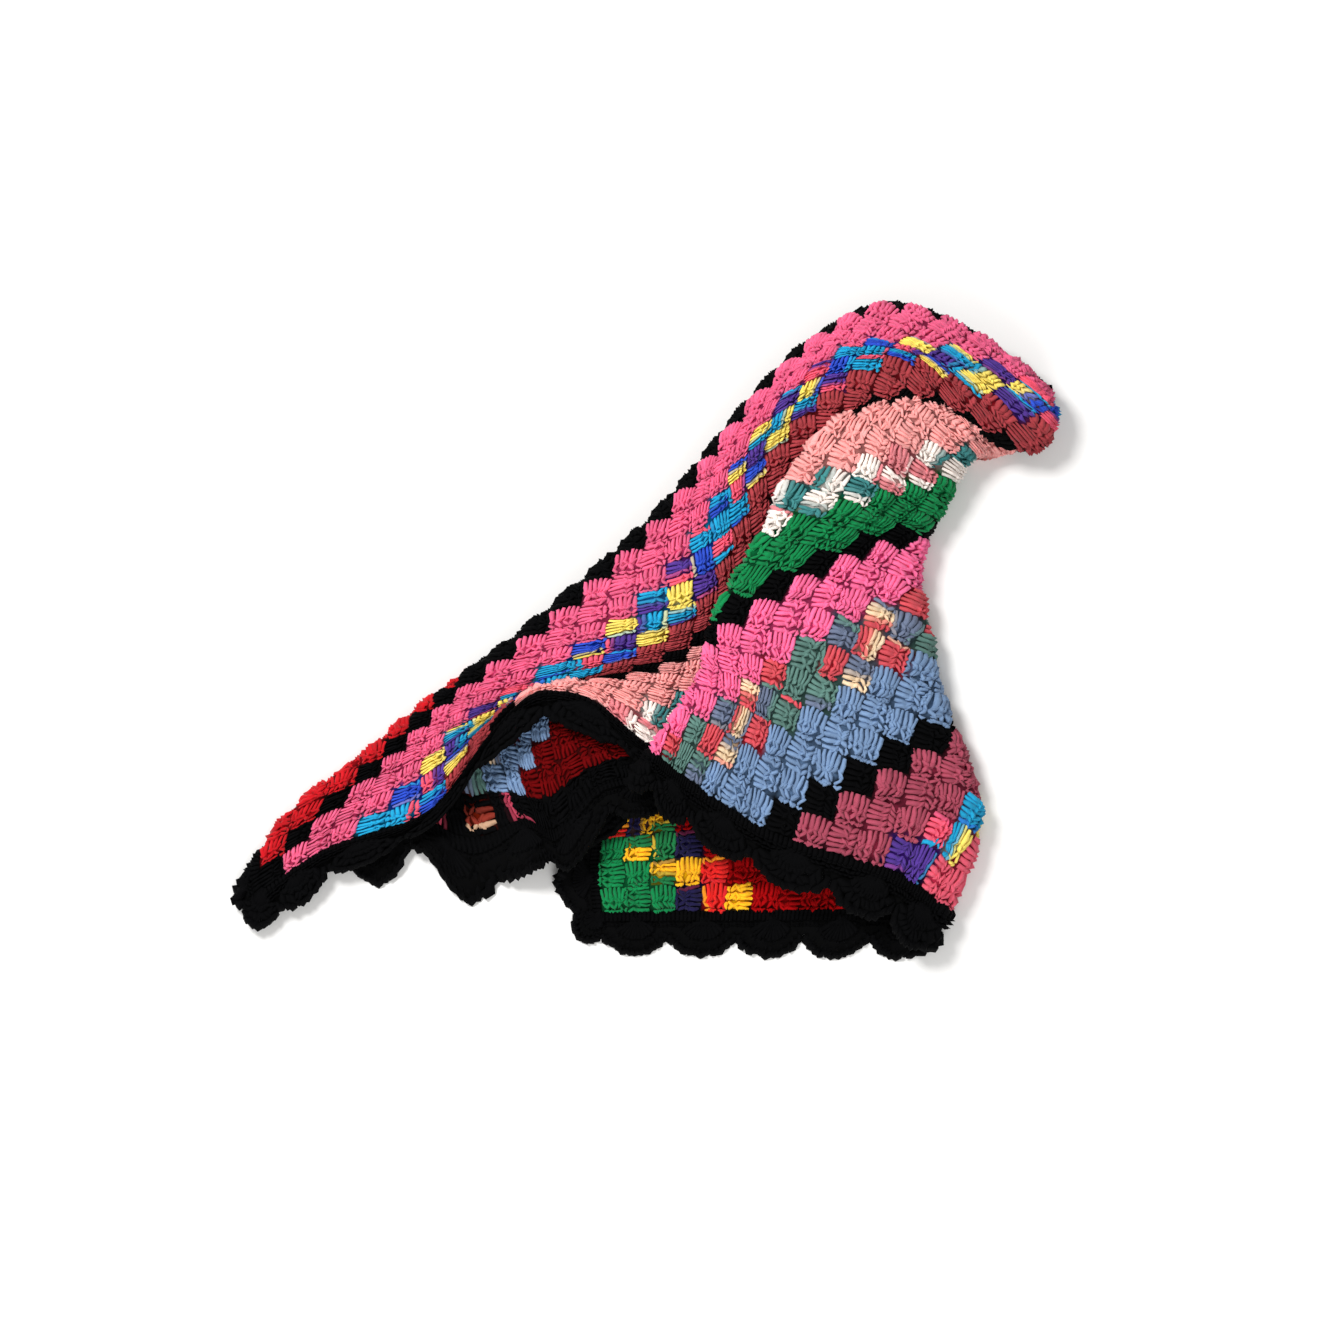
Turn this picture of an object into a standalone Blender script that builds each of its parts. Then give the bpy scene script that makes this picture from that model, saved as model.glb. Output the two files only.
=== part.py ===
"""Shell stitch crochet afghan, worked corner to corner in blocks, as it lies when thrown down.

The cloth is one sheet with a scalloped edging. Its flat pattern is counted in blocks: i runs along
the long side and j along the short side from one corner, a stripe is a line of one value of i - j,
and (i + j) / 2 steps along that stripe. The sheet lies in three layers: the front panel on top, the
under flap turned beneath it along the black diagonal, and the corner panel turned beneath both
along the right side, with its far corner turned back. A dart pleat crosses the front panel.
"""

import math

import bmesh
import bpy
import numpy as np

MM = 0.001
BLOCK = 21.5  # one shell block, each way
LONG, SHORT = 50, 26  # blocks along the two sides
STRIPE = BLOCK / math.sqrt(2)  # between neighbouring stripes
EDGING = 19.0  # flat width of the edging, without its scallops
EDGING_RAMP = 8.0  # over which the sheet grows as thick as its edging
SCALLOP_DEPTH = 15.0
SCALLOPS = {LONG: 18, SHORT: 9}  # along a side of that many blocks
CORNER_REACH_SHARE = 1.1  # how far the edging's rounded corners reach towards a square one
SHEET_HALF = 2.5  # half the thickness of the blocks
EDGING_HALF = 3.2  # and of the edging, which is thicker
LAYER = 9.0  # from the middle of one layer to the next where they lie flat
TURN_STEPS = 4  # mesh lines on each side of a fold
TURN_SPACING = 0.14  # blocks between those lines
HALVED = range(14, 37)  # columns of blocks cut in two for the pleat and the right fold
DIAGONAL_CUT = (12.0, 12.2)  # a point of the flat pattern on the black diagonal's fold

# Where the stripes of the front panel lie. Each row is a boundary between two colours: its stripe
# number, then its points as (steps along the stripe, x, y, height) in millimetres.
LEFT_STRIPES = (
    ("corner lobe, far side", -1.3, ((-0.65, -349, -237, 9),)),
    ("corner lobe, near side", 1.3, ((-0.65, -310, -239, 10),)),
    ("black diagonal", 0, ((-1.2, -332, -258, 9), (0, -327, -218, 12), (3, -249, -128, 14),
                           (5.6, -189, -71, 20), (8.4, -123, -17, 24), (11.1, -48, 47, 30),
                           (14.5, 38, 133, 36), (18.6, 132, 242, 40), (21.2, 204, 282, 42),
                           (23.8, 280, 256, 40), (26, 334, 214, 34), (27.6, 345, 206, 32))),
    ("pink to bright", 3.5, ((1.75, -260, -177, 14), (6.5, -144, -64, 32), (11.2, -8, 24, 44),
                             (15.9, 81, 151, 54), (20.7, 198, 246, 66), (25, 336, 207, 46))),
    ("bright to dark rose", 6.5, ((3.25, -180, -147, 22), (7.5, -76, -46, 32),
                                  (11.8, 44, 22, 38), (16, 105, 152, 46),
                                  (20.4, 217, 234, 66), (24.2, 336, 183, 44))),
    ("black", 9, ((4.5, -132, -85, 36), (8.4, -16, -32, 33), (12.2, 71, 25, 34),
                  (16, 132, 140, 38), (19.9, 212, 203, 52), (23.2, 302, 166, 40))),
    ("black to salmon", 10.8, ((5.4, -92, -49, 38),)),
    ("salmon to white", 12.5, ((6.25, -45, -55, 38),)),
    ("white to green", 14.5, ((7.25, 0, -91, 36),)),
)
RIGHT_STRIPES = (
    ("salmon to white", 12.5, ((17.7, 142, 133, 62), (20.1, 212, 156, 62), (22.2, 275, 159, 40))),
    ("white to green", 14.5, ((16.3, 102, 86, 66), (18.3, 178, 112, 62), (20.2, 230, 125, 42))),
    ("black", 18, ((15, 62, 11, 68), (17, 128, 52, 62), (19, 198, 82, 44))),
    ("pink to jade", 21.5, ((10.75, 8, -99, 58), (14, 76, -50, 64), (17.5, 164, 10, 56),
                            (19, 210, 31, 40))),
    ("jade to blue", 24.5, ((12.25, 38, -123, 54), (15, 108, -82, 56), (18.6, 217, -24, 38))),
    ("black", 28, ((14, 102, -164, 42), (16, 164, -130, 50), (18.2, 232, -91, 36))),
    ("mauve to bright", 31.5, ((15.75, 190, -193, 36), (18, 263, -147, 32))),
    ("coral pink", 35, ((17.5, 246, -224, 26),)),
)
SHARED_FROM = 19.5  # past this many steps a left stripe also shapes the right side

# The dart pleat, as rows of j, the i that shows last before its edge and the i of the edge itself.
PLEAT = ((-2, 14.9, 20.6), (0, 15.1, 21.3), (3.3, 15.5, 22.9), (6, 15.8, 23.7), (7.6, 16, 23.7),
         (9.2, 16.9, 23.4), (10.4, 18.2, 23.1), (12.2, 20.4, 23.1), (14, 23.3, 23.3),
         (16, 25.3, 25.3), (30, 39.3, 39.3))
PLEAT_BLEND = 3.0  # blocks over which the two sides join past the dart's end
PLEAT_OPEN = 2.0  # blocks of width from which the pleat is a full dart
PLEAT_TURN = 0.9  # share of a narrow pleat's width that its turns take

# The fold along the black diagonal: stripe number by steps along it.
DIAGONAL_FOLD = ((-2, -2.0), (-0.6, -1.9), (0.3, -1.5), (0.9, -1.8), (1.7, -2.3), (4, -1.6), (8, -0.6),
                 (11, -0.3), (14, -0.15), (40, -0.15))
# The fold down the right side: i by j.
RIGHT_FOLD = ((-2, 36.2), (0, 36), (2.3, 35.3), (4.2, 33.9), (6.4, 32.4), (8.3, 31.1), (10, 30),
              (13, 29.1), (16, 28.8), (18.7, 28.4), (21, 28), (23.3, 27.4), (26, 26.5), (28, 26.2))
# Where the corner panel ends on the floor, beyond the right fold: j, last i, x, y.
CORNER_REACH = ((-2, 50, -36, -283), (0, 50, -38, -238), (2, 50, -40, -196), (5, 50, -30, -132),
                (11, 47.4, -20, -22), (20, 43.6, 70, 112), (26, 41, 135, 195), (28, 40.1, 155, 220))
# The turned-back far corner: its fold runs through these two points of the flat pattern.
DOG_EAR = ((50.0, 5.0), (41.0, 26.0))
# The corner panel's end, under the rest of the cloth: y, x. What lies over it is raised by its two
# layers, from STACK_BEFORE ahead of that line and over STACK_RAMP.
CORNER_END = ((-13, -40), (387, 264))
STACK_BEFORE, STACK_RAMP = 92.0, 50.0

# The under flap's own edge, from the first corner: blocks along it, x, y and lift in millimetres.
# It runs out from under the front panel in ruffles, and back in under it.
FLAP_EDGE = ((2, -288, -197, 0), (4.2, -250, -227, 0), (6, -216, -225, 2), (7.7, -186, -192, 11),
             (9, -156, -225, 1), (10.4, -122, -214, 3), (12, -96, -181, 12), (14.5, -72, -185, 2),
             (16.5, -38, -140, 11), (19, 5, -130, 3), (22, 60, -132, 0), (26, 135, -142, 0))
# Points inside the flap and at its far side: stripe number, steps along it, x, y.
FLAP_INSIDE = ((6, 6, -185, -100), (12, 10, -75, -75), (20, 16, 158, -32), (13, 19.5, 142, 75),
               (6, 23, 235, 170))
FLAP_FOLD_STEPS = (0, 3, 6, 9, 12, 15, 18, 21, 24, 27)  # where it takes the diagonal fold's line
FLAP_BLEND = 2.5  # stripes to each side of the black diagonal over which it leaves the panel's plan


def smooth(x):
    x = np.clip(x, 0.0, 1.0)
    return x * x * (3 - 2 * x)


def column(table, key, values):
    """A table's column, read smoothly between its rows by its first column."""
    rows = np.array(table, float)
    at, wanted = rows[:, 0], rows[:, key]
    slopes = np.gradient(wanted, at)
    n = np.clip(np.searchsorted(at, values) - 1, 0, len(at) - 2)
    span = at[n + 1] - at[n]
    u = np.clip((values - at[n]) / span, 0.0, 1.0)
    start, end = (1 + 2 * u) * (1 - u) ** 2, u * u * (3 - 2 * u)
    leaving, arriving = u * (1 - u) ** 2 * span, u * u * (u - 1) * span
    return wanted[n] * start + wanted[n + 1] * end + slopes[n] * leaving + slopes[n + 1] * arriving


class Spread:
    """A smooth surface through scattered points: a thin plate with a flat part."""

    def __init__(self, places, values):
        self.places = np.array(places, float)
        n = len(self.places)
        flat = np.hstack([np.ones((n, 1)), self.places])
        system = np.zeros((n + 3, n + 3))
        system[:n, :n] = self.plate(self.places)
        system[:n, n:], system[n:, :n] = flat, flat.T
        wanted = np.vstack([np.array(values, float), np.zeros((3, np.shape(values)[1]))])
        self.weights = np.linalg.solve(system, wanted)

    def plate(self, at):
        squared = ((at[:, None, :] - self.places[None]) ** 2).sum(-1)
        return 0.5 * squared * np.log(squared + 1e-9)

    def __call__(self, a, j):
        at = np.stack([a, j], axis=-1)
        flat = np.hstack([np.ones((len(at), 1)), at])
        return np.hstack([self.plate(at), flat]) @ self.weights


def stripe_points(stripes):
    """The points of these stripes: i, j, x, y, height and steps."""
    for _, stripe, points in stripes:
        for steps, x, y, height in points:
            yield steps + stripe / 2, steps - stripe / 2, x, y, height, steps


left_points = list(stripe_points(LEFT_STRIPES))
right_points = list(stripe_points(RIGHT_STRIPES)) + [p for p in left_points if p[5] > SHARED_FROM]
left_side = Spread([p[:2] for p in left_points], [p[2:5] for p in left_points])
right_side = Spread([p[:2] for p in right_points], [p[2:5] for p in right_points])


def turn(distance, radius):
    """A sheet turning back at a fold: how far in it lies, and its side, from 1 to -1."""
    angle = np.clip(distance / np.maximum(radius, 1e-6), -math.pi / 2, math.pi / 2)
    reach = math.pi / 2 * radius
    inside = reach * (1 - np.cos(angle))
    return np.where(np.abs(distance) < reach, inside, np.abs(distance)), np.sin(angle)


def half_thickness(i, j):
    """Half the sheet's thickness: the edging is thicker than the blocks."""
    out = np.maximum(np.maximum(-i, i - LONG), np.maximum(-j, j - SHORT))
    return SHEET_HALF + (EDGING_HALF - SHEET_HALF) * smooth(out * BLOCK / EDGING_RAMP)


def floor_stack(x, y):
    """How far the corner panel's two layers raise what lies over them."""
    edge = np.interp(y, *zip(*CORNER_END))
    return 2 * LAYER * smooth((x - edge + STACK_BEFORE) / STACK_RAMP)


def front_panel(i, j):
    """The top layer, with its pleat: x, y and height."""
    shows_last, edge = column(PLEAT, 1, j), column(PLEAT, 2, j)
    middle = (shows_last + edge) / 2
    width = edge - middle
    radius = np.minimum(LAYER / 2, width * BLOCK / math.pi * PLEAT_TURN)
    inner, inner_side = turn((middle - i) * BLOCK, radius)
    outer, outer_side = turn((i - edge) * BLOCK, radius)
    low = left_side(middle - inner / BLOCK, j).T
    high = right_side(edge + outer / BLOCK, j).T
    low[2] += radius * (1 - inner_side)
    high[2] -= radius * (1 - outer_side)
    share = np.clip((i - middle) / np.maximum(width, 1e-6), 0, 1)
    join = np.maximum(width, PLEAT_BLEND)
    joined = smooth((i - middle + join) / (2 * join))
    closing = 1 - smooth(width / PLEAT_OPEN)
    return low + (high - low) * (share + (joined - share) * closing)


def flap_points():
    """What shapes the under flap: a, across, x, y and lift, in the front panel's own stripes."""
    for steps in FLAP_FOLD_STEPS:
        fold = column(DIAGONAL_FOLD, 1, np.array([float(steps)]))
        x, y, _ = left_side(steps + fold / 2, steps - fold / 2)[0]
        yield steps + fold[0] / 2, steps - fold[0] / 2, x, y, 0
    for along, x, y, lift in FLAP_EDGE:
        yield along, 0, x, y, lift
    for stripe, steps, x, y in FLAP_INSIDE:
        yield steps + stripe / 2, steps - stripe / 2, x, y, 0


flap_places = list(flap_points())
flap_plan = Spread([p[:2] for p in flap_places], [p[2:] for p in flap_places])


def under_flap(steps, stripe, i, j):
    """The layer below the front panel, in the panel's own stripes: x, y and height."""
    a, across = steps + stripe / 2, steps - stripe / 2
    x, y, lift = flap_plan(a, across).T
    x0, y0, _ = left_side(a, across).T
    near = smooth((stripe + FLAP_BLEND) / (2 * FLAP_BLEND))
    x, y = x0 + (x - x0) * near, y0 + (y - y0) * near
    return x, y, half_thickness(i, j) + floor_stack(x, y) + np.maximum(lift, 0) * near


def corner_panel(i, j):
    """The bottom layer, flat on the floor, with its far corner turned back: x, y and height."""
    first, second = np.array(DOG_EAR)
    along = (second - first) / np.linalg.norm(second - first)
    normal = np.array([-along[1], along[0]])  # towards the right fold
    beyond = (i - first[0]) * normal[0] + (j - first[1]) * normal[1]
    inside, side = turn(beyond * BLOCK, LAYER / 2)
    moved = inside / BLOCK - beyond
    flat_i, flat_j = i + moved * normal[0], j + moved * normal[1]
    start = column(RIGHT_FOLD, 1, flat_j)
    fold_x, fold_y, _ = right_side(start, flat_j).T
    share = (flat_i - start) / (column(CORNER_REACH, 1, flat_j) - start)
    x = fold_x + (column(CORNER_REACH, 2, flat_j) - fold_x) * share
    y = fold_y + (column(CORNER_REACH, 3, flat_j) - fold_y) * share
    return x, y, half_thickness(i, j) + LAYER / 2 * (1 - side)


def sheet_point(i, j):
    """Where a point of the flat pattern lies, in millimetres: the middle of the sheet."""
    steps, stripe = (i + j) / 2, i - j
    fold = column(DIAGONAL_FOLD, 1, steps)
    fold_i, fold_j = steps + fold / 2, steps - fold / 2
    edge_x, edge_y, edge_top = front_panel(fold_i, fold_j)
    edge_low = SHEET_HALF + floor_stack(edge_x, edge_y)
    diagonal_radius = np.maximum((edge_top - edge_low) / 2, 1.0)
    inside, side = turn((stripe - fold) * STRIPE, diagonal_radius)
    folded = fold + inside / STRIPE
    over_i, over_j = steps + folded / 2, steps - folded / 2

    right = column(RIGHT_FOLD, 1, over_j)
    _, _, right_top = front_panel(right, over_j)
    right_radius = np.maximum((right_top - SHEET_HALF) / 2, 1.0)
    right_inside, right_turned = turn((right - over_i) * BLOCK, right_radius)

    flap = under_flap(steps, folded, i, j)
    front = front_panel(right - right_inside / BLOCK, over_j)
    corner = corner_panel(right + right_inside / BLOCK, over_j)
    on_flap, on_corner = stripe < fold, over_i > right
    x = np.where(on_flap, flap[0], np.where(on_corner, corner[0], front[0]))
    y = np.where(on_flap, flap[1], np.where(on_corner, corner[1], front[1]))
    top = front[2] - diagonal_radius * (1 - side) * (stripe >= fold) - right_radius * (1 - right_turned)
    z = np.where(on_flap, flap[2] + diagonal_radius * (1 + side),
                 np.where(on_corner, corner[2] + right_radius * (1 + right_turned), top))
    return np.stack([x, y, z], axis=-1)


def sheet_surfaces(i, j):
    """The sheet's two faces, in millimetres, half its thickness to each side of its middle."""
    step = 0.05
    middle = sheet_point(i, j)
    along = sheet_point(i + step, j) - sheet_point(i - step, j)
    across = sheet_point(i, j + step) - sheet_point(i, j - step)
    normal = np.cross(along, across)
    normal /= np.maximum(np.linalg.norm(normal, axis=1, keepdims=True), 1e-9)
    half = half_thickness(i, j)[:, None]
    return middle + normal * half, middle - normal * half


def scalloped(along, length):
    """How far the edging reaches at this place on a side, in blocks."""
    bump = abs(math.sin(math.pi * along * SCALLOPS[length] / length))
    return (EDGING + SCALLOP_DEPTH * bump) / BLOCK


def flat_pattern():
    """The flat pattern as a mesh of one face a block, its outer row cut to scallops."""
    mesh = bmesh.new()
    corners = {}

    def corner(i, j):
        if (i, j) not in corners:
            corners[i, j] = mesh.verts.new((i, j, 0))
        return corners[i, j]

    for i in range(LONG):
        for j in range(SHORT):
            mesh.faces.new([corner(i, j), corner(i + 1, j), corner(i + 1, j + 1), corner(i, j + 1)])
    sides = (
        ((0, 0), (1, 0), (0, -1), LONG), ((LONG, 0), (0, 1), (1, 0), SHORT),
        ((LONG, SHORT), (-1, 0), (0, 1), LONG), ((0, SHORT), (0, -1), (-1, 0), SHORT),
    )
    rims = []
    for (i0, j0), (di, dj), (oi, oj), length in sides:
        rim = []
        for half in range(2 * length + 1):
            along = half / 2
            reach = scalloped(along, length)
            rim.append(mesh.verts.new((i0 + di * along + oi * reach, j0 + dj * along + oj * reach, 0)))
        for n in range(length):
            mesh.faces.new([corner(i0 + di * (n + 1), j0 + dj * (n + 1)), corner(i0 + di * n, j0 + dj * n),
                            *rim[2 * n: 2 * n + 3]])
        rims.append(rim)
    for rim, following, (i0, j0) in zip(rims, rims[1:] + rims[:1],
                                        ((LONG, 0), (LONG, SHORT), (0, SHORT), (0, 0))):
        tip = (rim[-1].co + following[0].co) - corner(i0, j0).co
        outer = corner(i0, j0).co + (tip - corner(i0, j0).co) * CORNER_REACH_SHARE
        mesh.faces.new([corner(i0, j0), rim[-1], mesh.verts.new(outer), following[0]])
    return mesh


def cut(mesh, place, normal):
    """Adds one straight mesh line across the flat pattern."""
    bmesh.ops.bisect_plane(mesh, geom=mesh.verts[:] + mesh.edges[:] + mesh.faces[:],
                           plane_co=place, plane_no=normal, dist=1e-4)


def cut_along(mesh, point, direction):
    """Adds mesh lines beside a fold, so that the turn is round."""
    normal = np.array([-direction[1], direction[0], 0.0]) / np.hypot(*direction)
    for n in range(-TURN_STEPS, TURN_STEPS + 1):
        cut(mesh, np.array([*point, 0.0]) + normal * n * TURN_SPACING, normal)


def build_afghan():
    pattern = flat_pattern()
    cut_along(pattern, DIAGONAL_CUT, (1, 1))
    cut_along(pattern, DOG_EAR[0], np.subtract(DOG_EAR[1], DOG_EAR[0]))
    for column_start in HALVED:
        cut(pattern, (column_start + 0.5, 0, 0), (1, 0, 0))
    bmesh.ops.triangulate(pattern, faces=pattern.faces[:])
    pattern.verts.ensure_lookup_table()
    flat = np.array([v.co[:2] for v in pattern.verts])
    upper, lower = sheet_surfaces(flat[:, 0], flat[:, 1])
    points = np.vstack([upper, lower])
    points[:, :2] -= (points[:, :2].max(0) + points[:, :2].min(0)) / 2
    points[:, 2] -= points[:, 2].min()

    solid = bmesh.new()
    verts = [solid.verts.new(p) for p in points * MM]
    count = len(flat)
    for face in pattern.faces:
        ring = [v.index for v in face.verts]
        solid.faces.new([verts[n] for n in ring])
        solid.faces.new([verts[n + count] for n in reversed(ring)])
    for edge in pattern.edges:
        if edge.is_boundary:
            face = edge.link_faces[0]
            for loop in face.loops:
                if loop.edge == edge:
                    a, b = loop.vert.index, loop.link_loop_next.vert.index
                    solid.faces.new([verts[b], verts[a], verts[a + count], verts[b + count]])
    pattern.free()
    data = bpy.data.meshes.new("afghan")
    solid.to_mesh(data)
    solid.free()
    data.shade_smooth()
    afghan = bpy.data.objects.new("afghan", data)
    bpy.context.scene.collection.objects.link(afghan)
    return afghan


def crochet_yarn():
    material = bpy.data.materials.new("acrylic_yarn")
    material.use_nodes = True
    shader = material.node_tree.nodes["Principled BSDF"]
    shader.inputs["Base Color"].default_value = (0.62, 0.12, 0.22, 1)
    shader.inputs["Roughness"].default_value = 0.9
    shader.inputs["Metallic"].default_value = 0.0
    return material


for old in list(bpy.data.objects):
    bpy.data.objects.remove(old)
build_afghan().data.materials.append(crochet_yarn())
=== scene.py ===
"""Dresses the shell stitch crochet afghan: the yarn of every block, the black edging and the light.

The cloth lies as its solid does. Its flat pattern is counted in blocks, i along the long side and
j along the short side. Stripes run corner to corner: a stripe's number is i - j, and a step along it
is half of i + j. sheet_point lays the pattern in folds. Geometry Nodes work each stitch flat on the
pattern, as on the open cloth, and the stitches are then carried onto the folded sheet.
"""

import math

import bpy
import numpy as np
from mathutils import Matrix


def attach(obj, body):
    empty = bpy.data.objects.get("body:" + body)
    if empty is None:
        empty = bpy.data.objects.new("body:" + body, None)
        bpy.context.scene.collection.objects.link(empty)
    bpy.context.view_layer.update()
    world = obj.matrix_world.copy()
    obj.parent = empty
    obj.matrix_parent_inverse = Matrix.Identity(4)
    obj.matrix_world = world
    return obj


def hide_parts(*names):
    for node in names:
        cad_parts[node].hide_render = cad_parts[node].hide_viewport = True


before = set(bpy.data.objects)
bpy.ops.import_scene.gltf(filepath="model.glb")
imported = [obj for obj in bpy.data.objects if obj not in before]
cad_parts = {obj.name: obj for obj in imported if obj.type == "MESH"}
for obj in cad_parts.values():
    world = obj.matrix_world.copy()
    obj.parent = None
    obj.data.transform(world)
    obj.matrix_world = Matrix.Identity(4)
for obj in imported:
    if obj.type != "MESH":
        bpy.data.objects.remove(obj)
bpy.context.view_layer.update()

MM = 0.001
BLOCK = 21.5  # one shell block, each way
LONG, SHORT = 50, 26  # blocks along the two sides
STRIPE = BLOCK / math.sqrt(2)  # between neighbouring stripes
EDGING = 19.0  # flat width of the edging, without its scallops
EDGING_RAMP = 8.0  # over which the sheet grows as thick as its edging
SCALLOP_DEPTH = 15.0
SCALLOPS = {LONG: 18, SHORT: 9}  # along a side of that many blocks
CORNER_REACH_SHARE = 1.1  # how far the edging's rounded corners reach towards a square one
SHEET_HALF = 2.5  # half the thickness of the blocks
EDGING_HALF = 3.2  # and of the edging, which is thicker
LAYER = 9.0  # from the middle of one layer to the next where they lie flat

# Where the stripes of the front panel lie. Each row is a boundary between two colours: its stripe
# number, then its points as (steps along the stripe, x, y, height) in millimetres.
LEFT_STRIPES = (
    ("corner lobe, far side", -1.3, ((-0.65, -349, -237, 9),)),
    ("corner lobe, near side", 1.3, ((-0.65, -310, -239, 10),)),
    ("black diagonal", 0, ((-1.2, -332, -258, 9), (0, -327, -218, 12), (3, -249, -128, 14),
                           (5.6, -189, -71, 20), (8.4, -123, -17, 24), (11.1, -48, 47, 30),
                           (14.5, 38, 133, 36), (18.6, 132, 242, 40), (21.2, 204, 282, 42),
                           (23.8, 280, 256, 40), (26, 334, 214, 34), (27.6, 345, 206, 32))),
    ("pink to bright", 3.5, ((1.75, -260, -177, 14), (6.5, -144, -64, 32), (11.2, -8, 24, 44),
                             (15.9, 81, 151, 54), (20.7, 198, 246, 66), (25, 336, 207, 46))),
    ("bright to dark rose", 6.5, ((3.25, -180, -147, 22), (7.5, -76, -46, 32),
                                  (11.8, 44, 22, 38), (16, 105, 152, 46),
                                  (20.4, 217, 234, 66), (24.2, 336, 183, 44))),
    ("black", 9, ((4.5, -132, -85, 36), (8.4, -16, -32, 33), (12.2, 71, 25, 34),
                  (16, 132, 140, 38), (19.9, 212, 203, 52), (23.2, 302, 166, 40))),
    ("black to salmon", 10.8, ((5.4, -92, -49, 38),)),
    ("salmon to white", 12.5, ((6.25, -45, -55, 38),)),
    ("white to green", 14.5, ((7.25, 0, -91, 36),)),
)
RIGHT_STRIPES = (
    ("salmon to white", 12.5, ((17.7, 142, 133, 62), (20.1, 212, 156, 62), (22.2, 275, 159, 40))),
    ("white to green", 14.5, ((16.3, 102, 86, 66), (18.3, 178, 112, 62), (20.2, 230, 125, 42))),
    ("black", 18, ((15, 62, 11, 68), (17, 128, 52, 62), (19, 198, 82, 44))),
    ("pink to jade", 21.5, ((10.75, 8, -99, 58), (14, 76, -50, 64), (17.5, 164, 10, 56),
                            (19, 210, 31, 40))),
    ("jade to blue", 24.5, ((12.25, 38, -123, 54), (15, 108, -82, 56), (18.6, 217, -24, 38))),
    ("black", 28, ((14, 102, -164, 42), (16, 164, -130, 50), (18.2, 232, -91, 36))),
    ("mauve to bright", 31.5, ((15.75, 190, -193, 36), (18, 263, -147, 32))),
    ("coral pink", 35, ((17.5, 246, -224, 26),)),
)
SHARED_FROM = 19.5  # past this many steps a left stripe also shapes the right side

# The dart pleat, as rows of j, the i that shows last before its edge and the i of the edge itself.
PLEAT = ((-2, 14.9, 20.6), (0, 15.1, 21.3), (3.3, 15.5, 22.9), (6, 15.8, 23.7), (7.6, 16, 23.7),
         (9.2, 16.9, 23.4), (10.4, 18.2, 23.1), (12.2, 20.4, 23.1), (14, 23.3, 23.3),
         (16, 25.3, 25.3), (30, 39.3, 39.3))
PLEAT_BLEND = 3.0  # blocks over which the two sides join past the dart's end
PLEAT_OPEN = 2.0  # blocks of width from which the pleat is a full dart
PLEAT_TURN = 0.9  # share of a narrow pleat's width that its turns take

# The fold along the black diagonal: stripe number by steps along it.
DIAGONAL_FOLD = ((-2, -2.0), (-0.6, -1.9), (0.3, -1.5), (0.9, -1.8), (1.7, -2.3), (4, -1.6), (8, -0.6),
                 (11, -0.3), (14, -0.15), (40, -0.15))
# The fold down the right side: i by j.
RIGHT_FOLD = ((-2, 36.2), (0, 36), (2.3, 35.3), (4.2, 33.9), (6.4, 32.4), (8.3, 31.1), (10, 30),
              (13, 29.1), (16, 28.8), (18.7, 28.4), (21, 28), (23.3, 27.4), (26, 26.5), (28, 26.2))
# Where the corner panel ends on the floor, beyond the right fold: j, last i, x, y.
CORNER_REACH = ((-2, 50, -36, -283), (0, 50, -38, -238), (2, 50, -40, -196), (5, 50, -30, -132),
                (11, 47.4, -20, -22), (20, 43.6, 70, 112), (26, 41, 135, 195), (28, 40.1, 155, 220))
# The turned-back far corner: its fold runs through these two points of the flat pattern.
DOG_EAR = ((50.0, 5.0), (41.0, 26.0))
# The corner panel's end, under the rest of the cloth: y, x. What lies over it is raised by its two
# layers, from STACK_BEFORE ahead of that line and over STACK_RAMP.
CORNER_END = ((-13, -40), (387, 264))
STACK_BEFORE, STACK_RAMP = 92.0, 50.0

# The under flap's own edge, from the first corner: blocks along it, x, y and lift in millimetres.
# It runs out from under the front panel in ruffles, and back in under it.
FLAP_EDGE = ((2, -288, -197, 0), (4.2, -250, -227, 0), (6, -216, -225, 2), (7.7, -186, -192, 11),
             (9, -156, -225, 1), (10.4, -122, -214, 3), (12, -96, -181, 12), (14.5, -72, -185, 2),
             (16.5, -38, -140, 11), (19, 5, -130, 3), (22, 60, -132, 0), (26, 135, -142, 0))
# Points inside the flap and at its far side: stripe number, steps along it, x, y.
FLAP_INSIDE = ((6, 6, -185, -100), (12, 10, -75, -75), (20, 16, 158, -32), (13, 19.5, 142, 75),
               (6, 23, 235, 170))
FLAP_FOLD_STEPS = (0, 3, 6, 9, 12, 15, 18, 21, 24, 27)  # where it takes the diagonal fold's line
FLAP_BLEND = 2.5  # stripes to each side of the black diagonal over which it leaves the panel's plan

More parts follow.
